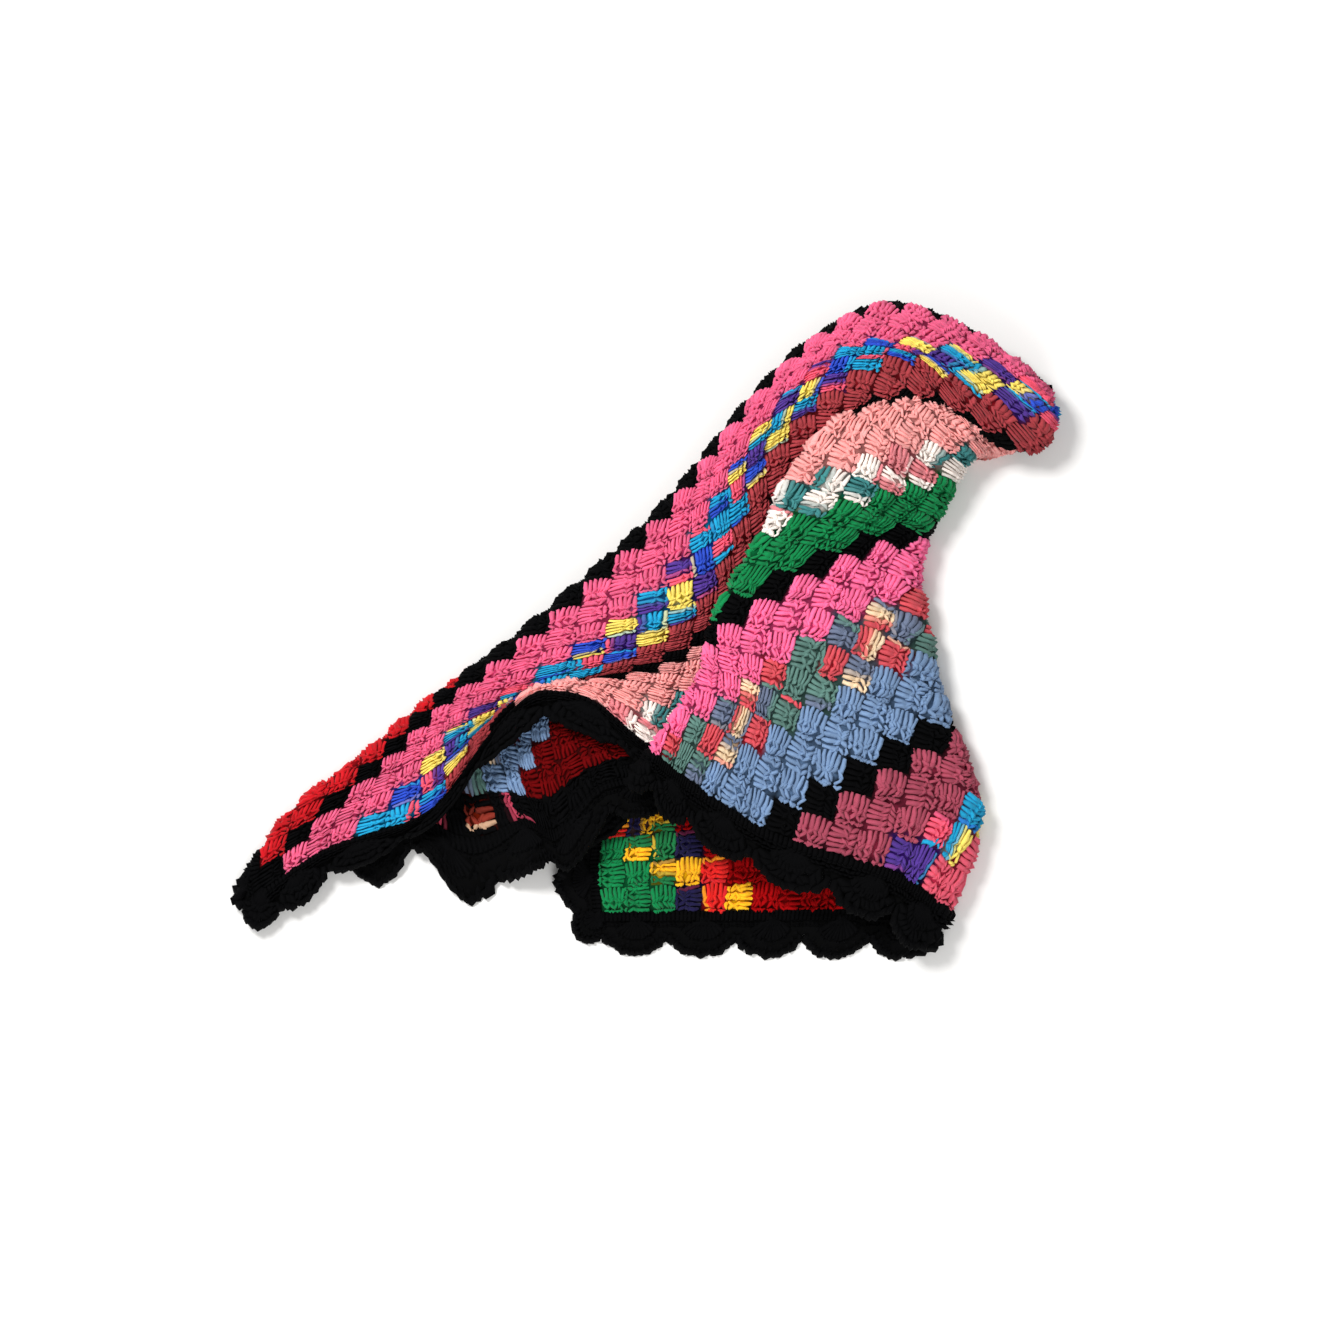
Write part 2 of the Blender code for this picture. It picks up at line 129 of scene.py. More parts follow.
# The yarns, each with the colours that follow one another along its ball: hex, blocks of length.
YARNS = {
    "black": (("#020203", 1),),
    "rose_pink": (("#E26087", 1),),
    # The same rose pink yarn, painted lighter on stripes 19 to 21, where the cloth is lit more
    # strongly: painted light.
    "rose_pink_painted_light": (("#F46C9C", 1),),
    "bright_mix": (("#1B9DC9", 1.1), ("#2C4FC4", 0.9), ("#F3DB69", 1.2), ("#1B9DC9", 0.6),
                   ("#53358F", 1.1), ("#EA5A75", 0.8)),
    "dark_rose": (("#A33A40", 1),),
    "salmon": (("#F0A39F", 1),),
    "white_teal_mix": (("#F2E7DF", 1.4), ("#3C8080", 1.1), ("#F2E7DF", 0.8), ("#DC8288", 1.1)),
    "green": (("#047F45", 1),),
    "jade_coral_mix": (("#5B7F76", 1.5), ("#69748C", 0.9), ("#EDD0AB", 0.5), ("#D4505A", 1.3)),
    "cornflower": (("#748FB2", 1),),
    "mauve_rose": (("#A6475B", 1),),
    "coral_pink": (("#D6556A", 1),),
    "dark_red": (("#640204", 1),),
    # The same dark red yarn, painted lighter on the corner panel, which lies in the edging's shade:
    # painted light.
    "dark_red_painted_light": (("#A00509", 1),),
    "primary_mix": (("#F6B91C", 1.1), ("#DC201C", 0.9), ("#17123F", 1.1), ("#F6B91C", 0.5),
                    ("#17743F", 0.9)),
    "ruffle_mix": (("#020203", 0.9), ("#B8435A", 0.4), ("#020203", 1.1), ("#8A3226", 0.35),
                   ("#C9A888", 0.15)),
    "red": (("#C00E1A", 1),),
    "russet_mix": (("#7A1A18", 1.5), ("#A5481F", 0.7), ("#5A1414", 1.0), ("#B08A60", 0.3)),
}
MATTE_YARNS = ("black", "ruffle_mix", "dark_red", "dark_red_painted_light")  # dark dyes, which show no halo
COLOUR_BLEND = 0.12  # blocks over which one colour of a ball runs into the next

# Which yarn each band of stripes is worked in: first stripe, last stripe, yarn.
BANDS = (
    (-26, -13, "dark_red"), (-12, -11, "cornflower"), (-10, -9, "jade_coral_mix"),
    (-8, -8, "rose_pink"), (-7, -4, "russet_mix"), (-3, -1, "red"), (0, 0, "black"),
    (1, 3, "rose_pink"), (4, 6, "bright_mix"), (7, 8, "dark_rose"), (9, 9, "black"),
    (10, 12, "salmon"), (13, 14, "white_teal_mix"), (15, 17, "green"), (18, 18, "black"),
    (19, 21, "rose_pink_painted_light"), (22, 24, "jade_coral_mix"), (25, 27, "cornflower"), (28, 28, "black"),
    (29, 31, "mauve_rose"), (32, 33, "bright_mix"), (34, 36, "coral_pink"), (37, 37, "black"),
    (38, 43, "dark_red_painted_light"), (44, 46, "primary_mix"), (47, 50, "green"),
)

RUFFLE_FROM = -10  # from this stripe the blocks beside the under flap's edging are its ruffle
RUFFLE_SHOWS = -13  # and down to this one some of the cloth's colours show between its loops
TURN_SHADE_FROM = 14  # past this i + j the red stripe turned under at the black diagonal is drawn in black yarn: painted shade on the fold's turn
BALL_START = {"jade_coral_mix": 1}  # blocks along its ball at which a yarn is started

LATTICE_STEP = 0.1  # blocks between the places where the folded sheet is worked out

YARN_WIDTH = 3.6  # from one double crochet to the next
PLY_LAY = 3.4  # millimetres along the yarn for one turn of its plies
PLY_DEPTH, FUZZ_DEPTH = 0.8, 0.6  # of the grooves between them, and of the fuzz on top
# Flecks of lighter and darker fibre in a metre, so 2.4 mm apart. Real fibres are far finer, and are
# drawn this coarse to show.
FLECKS = 420.0
STITCHES = 6  # double crochets in a shell block

# The strands of one double crochet, each as its start, middle and end, its thickness, and the
# sides and steps of its tube. Places are across in yarn widths, along in stitch lengths and up in
# yarn widths; the thickness is in yarn widths. Half of the stitches are mirror images of these.
STRANDS = (
    ((0, -0.02, -0.04), (0, 0.24, 0.56), (0, 0.60, -0.10), 0.96, 5, 3),  # the post
    ((-0.56, 0.38, 0.02), (0.0, 0.49, 0.84), (0.56, 0.60, 0.02), 0.80, 4, 2),  # the yarn over it
    ((0.56, 0.58, 0.02), (0.0, 0.71, 0.80), (-0.56, 0.83, 0.02), 0.80, 4, 2),  # the loop above
    ((-0.56, 0.90, 0.0), (0.0, 1.00, 0.52), (0.56, 0.90, 0.0), 0.80, 4, 2),  # the chain on top
)
STRAND_TAPER = 0.18  # share of its thickness that a strand loses at its ends
THICK = 1.35  # how much thicker than its yarn a stitch stands, at a block's sides
PUFF = 0.45  # and the share more in the middle of a block
BASE_SHARE = 1.05  # of a block's width that the feet of its stitches take
TOP_SHARE = 1.03  # of a block's length that its middle stitches take, over the next block's feet
CROWN = 0.16  # share of a block by which its outer stitches start later and end sooner
FAN = -0.30  # radians between the outer stitches of a block, which close in a little
UNEVEN_SIZE = (0.94, 1.08)  # how much a stitch's width and height differ from the rest
UNEVEN_LENGTH = (0.96, 1.05)
WANDER = 3.6  # millimetres that the hand-worked yarn strays at most
WANDER_WAVES = 0.19  # and how many times it does in a millimetre, so once in about 5 mm
LEAN = 0.13  # radians by which a stitch leans off its way at most
MIRROR_SEED, SHADE_SEED, LEAN_SEED, SIZE_SEED, LENGTH_SEED = 5, 11, 23, 37, 41
FLOOR_GAP = 0.1  # millimetres from the surface that the cloth lies on to its lowest yarn

# The edging, whose stitches are thicker than the blocks' and pulled tighter.
EDGING_WANDER, EDGING_LEAN = 1.4, 0.03
BAND_YARN, BAND_LENGTH = 4.8, 0.55  # its band: yarn width, and blocks from its foot to its top
FAN_YARN, FAN_THICK = 7.0, 1.05  # its scallops: yarn width, and how thick they stand
FAN_FOOT = 5.0  # millimetres out from the blocks to the foot of a fan
FAN_STITCHES, FAN_LEAN = 11, math.radians(64)  # in a scallop, and how far the outer ones lean
FAN_ROUNDNESS = 0.6  # below 1 a scallop's sides are steeper and its end flatter
FAN_SHORT = 0.03  # blocks by which a fan's stitches end before the scallop's rim
CORNER_STITCHES, CORNER_BULGE = 9, 0.5  # round a corner, and the share longer in its middle


def smooth(x):
    x = np.clip(x, 0.0, 1.0)
    return x * x * (3 - 2 * x)


def column(table, key, values):
    """A table's column, read smoothly between its rows by its first column."""
    rows = np.array(table, float)
    at, wanted = rows[:, 0], rows[:, key]
    slopes = np.gradient(wanted, at)
    n = np.clip(np.searchsorted(at, values) - 1, 0, len(at) - 2)
    span = at[n + 1] - at[n]
    u = np.clip((values - at[n]) / span, 0.0, 1.0)
    start, end = (1 + 2 * u) * (1 - u) ** 2, u * u * (3 - 2 * u)
    leaving, arriving = u * (1 - u) ** 2 * span, u * u * (u - 1) * span
    return wanted[n] * start + wanted[n + 1] * end + slopes[n] * leaving + slopes[n + 1] * arriving


class Spread:
    """A smooth surface through scattered points: a thin plate with a flat part."""

    def __init__(self, places, values):
        self.places = np.array(places, float)
        n = len(self.places)
        flat = np.hstack([np.ones((n, 1)), self.places])
        system = np.zeros((n + 3, n + 3))
        system[:n, :n] = self.plate(self.places)
        system[:n, n:], system[n:, :n] = flat, flat.T
        wanted = np.vstack([np.array(values, float), np.zeros((3, np.shape(values)[1]))])
        self.weights = np.linalg.solve(system, wanted)

    def plate(self, at):
        squared = ((at[:, None, :] - self.places[None]) ** 2).sum(-1)
        return 0.5 * squared * np.log(squared + 1e-9)

    def __call__(self, a, j):
        at = np.stack([a, j], axis=-1)
        flat = np.hstack([np.ones((len(at), 1)), at])
        return np.hstack([self.plate(at), flat]) @ self.weights


def stripe_points(stripes):
    """The points of these stripes: i, j, x, y, height and steps."""
    for _, stripe, points in stripes:
        for steps, x, y, height in points:
            yield steps + stripe / 2, steps - stripe / 2, x, y, height, steps


left_points = list(stripe_points(LEFT_STRIPES))
right_points = list(stripe_points(RIGHT_STRIPES)) + [p for p in left_points if p[5] > SHARED_FROM]
left_side = Spread([p[:2] for p in left_points], [p[2:5] for p in left_points])
right_side = Spread([p[:2] for p in right_points], [p[2:5] for p in right_points])


def turn(distance, radius):
    """A sheet turning back at a fold: how far in it lies, and its side, from 1 to -1."""
    angle = np.clip(distance / np.maximum(radius, 1e-6), -math.pi / 2, math.pi / 2)
    reach = math.pi / 2 * radius
    inside = reach * (1 - np.cos(angle))
    return np.where(np.abs(distance) < reach, inside, np.abs(distance)), np.sin(angle)


def half_thickness(i, j):
    """Half the sheet's thickness: the edging is thicker than the blocks."""
    out = np.maximum(np.maximum(-i, i - LONG), np.maximum(-j, j - SHORT))
    return SHEET_HALF + (EDGING_HALF - SHEET_HALF) * smooth(out * BLOCK / EDGING_RAMP)


def floor_stack(x, y):
    """How far the corner panel's two layers raise what lies over them."""
    edge = np.interp(y, *zip(*CORNER_END))
    return 2 * LAYER * smooth((x - edge + STACK_BEFORE) / STACK_RAMP)


def front_panel(i, j):
    """The top layer, with its pleat: x, y and height."""
    shows_last, edge = column(PLEAT, 1, j), column(PLEAT, 2, j)
    middle = (shows_last + edge) / 2
    width = edge - middle
    radius = np.minimum(LAYER / 2, width * BLOCK / math.pi * PLEAT_TURN)
    inner, inner_side = turn((middle - i) * BLOCK, radius)
    outer, outer_side = turn((i - edge) * BLOCK, radius)
    low = left_side(middle - inner / BLOCK, j).T
    high = right_side(edge + outer / BLOCK, j).T
    low[2] += radius * (1 - inner_side)
    high[2] -= radius * (1 - outer_side)
    share = np.clip((i - middle) / np.maximum(width, 1e-6), 0, 1)
    join = np.maximum(width, PLEAT_BLEND)
    joined = smooth((i - middle + join) / (2 * join))
    closing = 1 - smooth(width / PLEAT_OPEN)
    return low + (high - low) * (share + (joined - share) * closing)


def flap_points():
    """What shapes the under flap: a, across, x, y and lift, in the front panel's own stripes."""
    for steps in FLAP_FOLD_STEPS:
        fold = column(DIAGONAL_FOLD, 1, np.array([float(steps)]))
        x, y, _ = left_side(steps + fold / 2, steps - fold / 2)[0]
        yield steps + fold[0] / 2, steps - fold[0] / 2, x, y, 0
    for along, x, y, lift in FLAP_EDGE:
        yield along, 0, x, y, lift
    for stripe, steps, x, y in FLAP_INSIDE:
        yield steps + stripe / 2, steps - stripe / 2, x, y, 0


flap_places = list(flap_points())
flap_plan = Spread([p[:2] for p in flap_places], [p[2:] for p in flap_places])


def under_flap(steps, stripe, i, j):
    """The layer below the front panel, in the panel's own stripes: x, y and height."""
    a, across = steps + stripe / 2, steps - stripe / 2
    x, y, lift = flap_plan(a, across).T
    x0, y0, _ = left_side(a, across).T
    near = smooth((stripe + FLAP_BLEND) / (2 * FLAP_BLEND))
    x, y = x0 + (x - x0) * near, y0 + (y - y0) * near
    return x, y, half_thickness(i, j) + floor_stack(x, y) + np.maximum(lift, 0) * near


def corner_panel(i, j):
    """The bottom layer, flat on the floor, with its far corner turned back: x, y and height."""
    first, second = np.array(DOG_EAR)
    along = (second - first) / np.linalg.norm(second - first)
    normal = np.array([-along[1], along[0]])  # towards the right fold
    beyond = (i - first[0]) * normal[0] + (j - first[1]) * normal[1]
    inside, side = turn(beyond * BLOCK, LAYER / 2)
    moved = inside / BLOCK - beyond
    flat_i, flat_j = i + moved * normal[0], j + moved * normal[1]
    start = column(RIGHT_FOLD, 1, flat_j)
    fold_x, fold_y, _ = right_side(start, flat_j).T
    share = (flat_i - start) / (column(CORNER_REACH, 1, flat_j) - start)
    x = fold_x + (column(CORNER_REACH, 2, flat_j) - fold_x) * share
    y = fold_y + (column(CORNER_REACH, 3, flat_j) - fold_y) * share
    return x, y, half_thickness(i, j) + LAYER / 2 * (1 - side)


def sheet_point(i, j):
    """Where a point of the flat pattern lies, in millimetres: the middle of the sheet."""
    steps, stripe = (i + j) / 2, i - j
    fold = column(DIAGONAL_FOLD, 1, steps)
    fold_i, fold_j = steps + fold / 2, steps - fold / 2
    edge_x, edge_y, edge_top = front_panel(fold_i, fold_j)
    edge_low = SHEET_HALF + floor_stack(edge_x, edge_y)
    diagonal_radius = np.maximum((edge_top - edge_low) / 2, 1.0)
    inside, side = turn((stripe - fold) * STRIPE, diagonal_radius)
    folded = fold + inside / STRIPE
    over_i, over_j = steps + folded / 2, steps - folded / 2

    right = column(RIGHT_FOLD, 1, over_j)
    _, _, right_top = front_panel(right, over_j)
    right_radius = np.maximum((right_top - SHEET_HALF) / 2, 1.0)
    right_inside, right_turned = turn((right - over_i) * BLOCK, right_radius)

    flap = under_flap(steps, folded, i, j)
    front = front_panel(right - right_inside / BLOCK, over_j)
    corner = corner_panel(right + right_inside / BLOCK, over_j)
    on_flap, on_corner = stripe < fold, over_i > right
    x = np.where(on_flap, flap[0], np.where(on_corner, corner[0], front[0]))
    y = np.where(on_flap, flap[1], np.where(on_corner, corner[1], front[1]))
    top = front[2] - diagonal_radius * (1 - side) * (stripe >= fold) - right_radius * (1 - right_turned)
    z = np.where(on_flap, flap[2] + diagonal_radius * (1 + side),
                 np.where(on_corner, corner[2] + right_radius * (1 + right_turned), top))
    return np.stack([x, y, z], axis=-1)


def scallop_reach(along, length, roundness=1.0):
    """How far the edging reaches at this place on a side, in blocks."""
    bump = np.abs(np.sin(math.pi * along * SCALLOPS[length] / length)) ** roundness
    return (EDGING + SCALLOP_DEPTH * bump) / BLOCK


class FoldedSheet:
    """The folded sheet worked out once on a fine lattice, and read between its places."""

    MARGIN = (EDGING + SCALLOP_DEPTH) / BLOCK + 0.3

    def __init__(self):
        self.i = np.arange(-self.MARGIN, LONG + self.MARGIN + LATTICE_STEP, LATTICE_STEP)
        self.j = np.arange(-self.MARGIN, SHORT + self.MARGIN + LATTICE_STEP, LATTICE_STEP)
        i, j = np.meshgrid(self.i, self.j, indexing="ij")
        rows = [sheet_point(a, b) for a, b in zip(i, j)]
        self.middle = np.array(rows)
        normal = np.cross(np.gradient(self.middle, axis=0), np.gradient(self.middle, axis=1))
        self.normal = normal / np.maximum(np.linalg.norm(normal, axis=2, keepdims=True), 1e-9)
        self.shift = np.zeros(3)
        self.shift = self.solid_corner()

    def read(self, table, i, j):
        """The lattice's values at these places, by straight lines between its four corners."""
        a = np.clip((i - self.i[0]) / LATTICE_STEP, 0, len(self.i) - 1.001)
        b = np.clip((j - self.j[0]) / LATTICE_STEP, 0, len(self.j) - 1.001)
        m, n = a.astype(int), b.astype(int)
        a, b = (a - m)[:, None], (b - n)[:, None]
        near = table[m, n] * (1 - b) + table[m, n + 1] * b
        far = table[m + 1, n] * (1 - b) + table[m + 1, n + 1] * b
        return near * (1 - a) + far * a

    def place(self, i, j, height):
        """These places of the flat pattern, this high above the sheet's middle, in the frame."""
        normal = self.read(self.normal, i, j)
        normal /= np.maximum(np.linalg.norm(normal, axis=1, keepdims=True), 1e-9)
        return self.read(self.middle, i, j) + normal * np.asarray(height)[:, None] - self.shift

    def solid_corner(self):
        """The centre of the solid's footprint and its lowest height, which the frame starts from."""
        inside_i = (self.i > 0) & (self.i < LONG)
        inside_j = (self.j > 0) & (self.j < SHORT)
        i, j = (a.ravel() for a in np.meshgrid(self.i[inside_i], self.j[inside_j], indexing="ij"))
        rim = np.array([p for side in edging_sides() for p in side.rim()])
        i, j = np.append(i, rim[:, 0]), np.append(j, rim[:, 1])
        half = half_thickness(i, j)
        both = np.vstack([self.place(i, j, half), self.place(i, j, -half)])
        low, high = both.min(0), both.max(0)
        return np.array([(low[0] + high[0]) / 2, (low[1] + high[1]) / 2, low[2]])


class EdgingSide:
    """One side of the cloth: where it starts, the way it runs, the way out, and its blocks."""

    def __init__(self, start, along, out, blocks):
        self.start, self.along, self.out = (np.array(v, float) for v in (start, along, out))
        self.blocks = blocks

    def point(self, along, out):
        return self.start + self.along * along + self.out * out

    def rim(self):
        places = [n / 2 for n in range(2 * self.blocks + 1)]
        return [self.point(along, scallop_reach(along, self.blocks)) for along in places]


def edging_sides():
    return (
        EdgingSide((0, 0), (1, 0), (0, -1), LONG),
        EdgingSide((LONG, 0), (0, 1), (1, 0), SHORT),
        EdgingSide((LONG, SHORT), (-1, 0), (0, 1), LONG),
        EdgingSide((0, SHORT), (0, -1), (-1, 0), SHORT),
    )


def linear(hex_colour):
    """An sRGB hex colour as the linear values that a shader takes."""
    values = [int(hex_colour[n:n + 2], 16) / 255 for n in (1, 3, 5)]
    light = [v / 12.92 if v <= 0.04045 else ((v + 0.055) / 1.055) ** 2.4 for v in values]
    return (*light, 1.0)


def add_node(tree, kind, inputs=None, **settings):
    """A node with its settings and its inputs: values, sockets, or nodes for their first output."""
    node = tree.nodes.new(kind)
    for name, value in settings.items():
        setattr(node, name, value)
    sockets = {socket.identifier: socket for socket in node.inputs}
    for name, value in (inputs or {}).items():
        socket = node.inputs[name] if isinstance(name, int) else sockets[name]
        if isinstance(value, bpy.types.Node):
            value = value.outputs[0]
        if isinstance(value, bpy.types.NodeSocket):
            tree.links.new(value, socket)
        else:
            socket.default_value = value
    return node


def yarn_fibres(tree):
    """The flecks of the yarn's fibres, as a value from 0 to 1."""
    place = add_node(tree, "ShaderNodeTexCoord")
    noise = add_node(tree, "ShaderNodeTexNoise",
                     {"Vector": place.outputs["Object"], "Scale": FLECKS, "Detail": 3.0})
    return noise.outputs["Fac"]


def colour_stops(colours):
    """Where each colour of a ball begins and ends along its repeat, in blocks, with its colour."""
    start = 0.0
    for colour, blocks in colours:
        yield start + COLOUR_BLEND, linear(colour)
        yield start + blocks - COLOUR_BLEND, linear(colour)
        start += blocks


def repeat_of(colours):
    return sum(blocks for _, blocks in colours)


# Worsted acrylic yarn: soft, matte and a little fuzzy, plied from a few strands, so each stitch
# shows a fine slanting twist, a paler halo at its rim and small changes of shade.
def yarn_material(name, colours):
    material = bpy.data.materials.new(f"worsted_acrylic_{name}")
    material.use_nodes = True
    tree = material.node_tree
    shader = tree.nodes["Principled BSDF"]
    run = add_node(tree, "ShaderNodeAttribute", attribute_name="run")
    shade = add_node(tree, "ShaderNodeAttribute", attribute_name="shade")
    if len(colours) > 1:
        period = repeat_of(colours)
        repeats = add_node(tree, "ShaderNodeMath", {0: run.outputs["Fac"], 1: period},
                           operation="DIVIDE")
        part = add_node(tree, "ShaderNodeMath", {0: repeats}, operation="FRACT")
        ramp = add_node(tree, "ShaderNodeValToRGB", {"Fac": part})
        stops = ramp.color_ramp.elements
        for at, colour in colour_stops(colours):
            stops.new(at / period).color = colour
        stops.remove(stops[0])
        stops.remove(stops[len(stops) - 1])
        colour = ramp.outputs["Color"]
    else:
        base = add_node(tree, "ShaderNodeRGB")
        base.outputs[0].default_value = linear(colours[0][0])
        colour = base.outputs[0]
    fibres = yarn_fibres(tree)
    span = 0.3  # of lightness from one stitch to another, and from one fibre to another
    light = add_node(tree, "ShaderNodeMath", {0: shade.outputs["Fac"], 1: span, 2: 1 - span / 2},
                     operation="MULTIPLY_ADD")
    fleck = add_node(tree, "ShaderNodeMath", {0: fibres, 1: span, 2: -span / 2},
                     operation="MULTIPLY_ADD")
    value = add_node(tree, "ShaderNodeMath", {0: light, 1: fleck}, operation="ADD")
    tinted = add_node(tree, "ShaderNodeHueSaturation", {"Color": colour, "Value": value})
    tree.links.new(tinted.outputs["Color"], shader.inputs["Base Color"])

    along = add_node(tree, "ShaderNodeAttribute", attribute_name="along")
    around = add_node(tree, "ShaderNodeAttribute", attribute_name="around")
    twist = add_node(tree, "ShaderNodeMath", {0: along.outputs["Fac"], 1: PLY_LAY},
                     operation="DIVIDE")
    plies = add_node(tree, "ShaderNodeMath", {0: around.outputs["Fac"], 1: 2.0, 2: twist},
                     operation="MULTIPLY_ADD")
    groove = add_node(tree, "ShaderNodeMath", {0: plies, 1: 1.0}, operation="PINGPONG")
    bump = add_node(tree, "ShaderNodeBump",
                    {"Height": groove, "Strength": 0.5, "Distance": PLY_DEPTH * MM})
    fuzz = add_node(tree, "ShaderNodeBump",
                    {"Height": fibres, "Strength": 0.4, "Distance": FUZZ_DEPTH * MM,
                     "Normal": bump.outputs["Normal"]})
    tree.links.new(fuzz.outputs["Normal"], shader.inputs["Normal"])
    matte = name in MATTE_YARNS
    shader.inputs["Roughness"].default_value = 0.9
    shader.inputs["Sheen Weight"].default_value = 0.0 if matte else 0.08
    shader.inputs["Sheen Roughness"].default_value = 0.5
    shader.inputs["Specular IOR Level"].default_value = 0.08 if matte else 0.2
    return material


# The ground between the stitches is the inner side of the same yarns, with their hue, painted dark and
# a little more saturated: painted shade, as it lies in shadow between the stitches.
def ground_material():
    material = bpy.data.materials.new("worsted_acrylic_ground_painted_shade")
    material.use_nodes = True
    tree = material.node_tree
    shader = tree.nodes["Principled BSDF"]
    tint = add_node(tree, "ShaderNodeAttribute", attribute_name="ground")
    painted_shade_darkest, span = 0.32, 0.4  # painted shade: the darkest share of the yarn's own lightness, and how much lighter the fibres make it at most
    value = add_node(tree, "ShaderNodeMath", {0: yarn_fibres(tree), 1: span, 2: painted_shade_darkest},
                     operation="MULTIPLY_ADD")
    tinted = add_node(tree, "ShaderNodeHueSaturation",
                      {"Color": tint.outputs["Color"], "Value": value, "Saturation": 1.1})
    tree.links.new(tinted.outputs["Color"], shader.inputs["Base Color"])
    shader.inputs["Roughness"].default_value = 0.95
    shader.inputs["Specular IOR Level"].default_value = 0.1
    return material


def stitch_tree():
    """Double crochet stitches, instanced on points that say which way they are worked."""
    tree = bpy.data.node_groups.new("double_crochet", "GeometryNodeTree")
    new = tree.interface.new_socket
    new("Geometry", in_out="INPUT", socket_type="NodeSocketGeometry")
    for name, kind, value in (
        ("Stitches", "NodeSocketInt", STITCHES), ("Width", "NodeSocketFloat", BLOCK * BASE_SHARE),
        ("Length", "NodeSocketFloat", BLOCK), ("Yarn", "NodeSocketFloat", YARN_WIDTH),
        ("Fan", "NodeSocketFloat", FAN), ("Thick", "NodeSocketFloat", THICK),
        ("Wander", "NodeSocketFloat", WANDER), ("Lean", "NodeSocketFloat", LEAN),
        ("Yarn material", "NodeSocketMaterial", None),
    ):
        socket = new(name, in_out="INPUT", socket_type=kind)
        if value is not None:
            socket.default_value = value
    new("Geometry", in_out="OUTPUT", socket_type="NodeSocketGeometry")
    given = add_node(tree, "NodeGroupInput").outputs

    def strand(way, start, middle, end, thickness, sides, steps):
        """One strand of the stitch, as a row of STRANDS gives it or as its mirror image."""
        places = []
        for across, along, up in (start, middle, end):
            shares = (("Yarn", across * way), ("Length", along), ("Yarn", up))
            places.append(add_node(tree, "ShaderNodeCombineXYZ", {
                axis: add_node(tree, "ShaderNodeMath", {0: given[size], 1: share}, operation="MULTIPLY")
                for axis, (size, share) in enumerate(shares)}))
        line = add_node(tree, "GeometryNodeCurveQuadraticBezier",
                        {"Start": places[0], "Middle": places[1], "End": places[2]})
        stepped = add_node(tree, "GeometryNodeResampleCurve", {"Curve": line, "Count": steps + 1})
        ring = add_node(tree, "GeometryNodeCurvePrimitiveCircle",
                        {"Resolution": sides, "Radius": thickness / 2})
        parameter = add_node(tree, "GeometryNodeSplineParameter").outputs
        marked = [add_node(tree, "GeometryNodeStoreNamedAttribute",
                           {"Geometry": curve, "Name": name, "Value": parameter[value]})
                  for curve, name, value in ((stepped, "along", "Length"), (ring, "around", "Factor"))]
        from_middle = add_node(tree, "ShaderNodeMath", {0: parameter["Factor"], 1: 2.0, 2: -1.0},
                               operation="MULTIPLY_ADD")
        near_end = add_node(tree, "ShaderNodeMath", {0: from_middle, 1: from_middle},
                            operation="MULTIPLY")
        taper = add_node(tree, "ShaderNodeMath", {0: near_end, 1: -STRAND_TAPER, 2: 1.0},
                         operation="MULTIPLY_ADD")
        width = add_node(tree, "ShaderNodeMath", {0: taper, 1: given["Yarn"]}, operation="MULTIPLY")
        return add_node(tree, "GeometryNodeCurveToMesh", {
            "Curve": marked[0], "Profile Curve": marked[1], "Scale": width, "Fill Caps": True})

    both_ways = add_node(tree, "GeometryNodeJoinGeometry")
    for way in (1, -1):
        stitch = add_node(tree, "GeometryNodeJoinGeometry")
        for row in STRANDS:
            tree.links.new(strand(way, *row).outputs[0], stitch.inputs[0])
        one_way = add_node(tree, "GeometryNodeGeometryToInstance", {0: stitch})
        tree.links.new(one_way.outputs[0], both_ways.inputs[0])

    # A stitch's place, turn and size, each worked out from the values above it. Across a block they
    # run from -0.5 to 0.5, and outer from 0 in its middle to 1 at its sides.
    copies = add_node(tree, "GeometryNodeDuplicateElements",
                      {"Geometry": given["Geometry"], "Amount": given["Stitches"]},
                      domain="POINT").outputs
    values = {socket.name: socket for socket in given}
    values["copy"] = copies["Duplicate Index"]
    for name in ("run", "across", "heading", "stretch", "roll"):
        stored = add_node(tree, "GeometryNodeInputNamedAttribute", {"Name": name}, data_type="FLOAT")
        values[name] = stored.outputs["Attribute"]
    for name, least, most, seed in (("shade", 0.0, 1.0, SHADE_SEED), ("tilt", -1.0, 1.0, LEAN_SEED),
                                    ("size", *UNEVEN_SIZE, SIZE_SEED),
                                    ("stretching", *UNEVEN_LENGTH, LENGTH_SEED)):
        uneven = add_node(tree, "FunctionNodeRandomValue",
                          {"Min_001": least, "Max_001": most, "Seed": seed}, data_type="FLOAT")
        values[name] = uneven.outputs[1]
    for name, operation, *terms in (
        ("copy middle", "ADD", "copy", 0.5), ("part", "DIVIDE", "copy middle", "Stitches"),
        ("yarn used", "ADD", "run", "part"), ("from middle", "SUBTRACT", "part", 0.5),
        ("aside", "MULTIPLY", "across", 2.0), ("outer", "MULTIPLY", "aside", "aside"),
        ("sideways", "MULTIPLY", "across", "Width"), ("late", "MULTIPLY", "outer", BLOCK * CROWN),
        ("fanned", "MULTIPLY", "across", "Fan"), ("off true", "MULTIPLY", "tilt", "Lean"),
        ("fan way", "SUBTRACT", "heading", "fanned"), ("way", "ADD", "fan way", "off true"),
        ("rounded top", "MULTIPLY_ADD", "outer", -CROWN, TOP_SHARE),
        ("even length", "MULTIPLY", "stretch", "rounded top"),
        ("long", "MULTIPLY", "even length", "stretching"),
        ("inner", "SUBTRACT", 1.0, "outer"), ("puffed", "MULTIPLY_ADD", "inner", PUFF, 1.0),
        ("puffed yarn", "MULTIPLY", "Thick", "puffed"), ("high", "MULTIPLY", "puffed yarn", "size"),
    ):
        inputs = {n: values.get(term, term) for n, term in enumerate(terms)}
        values[name] = add_node(tree, "ShaderNodeMath", inputs, operation=operation)

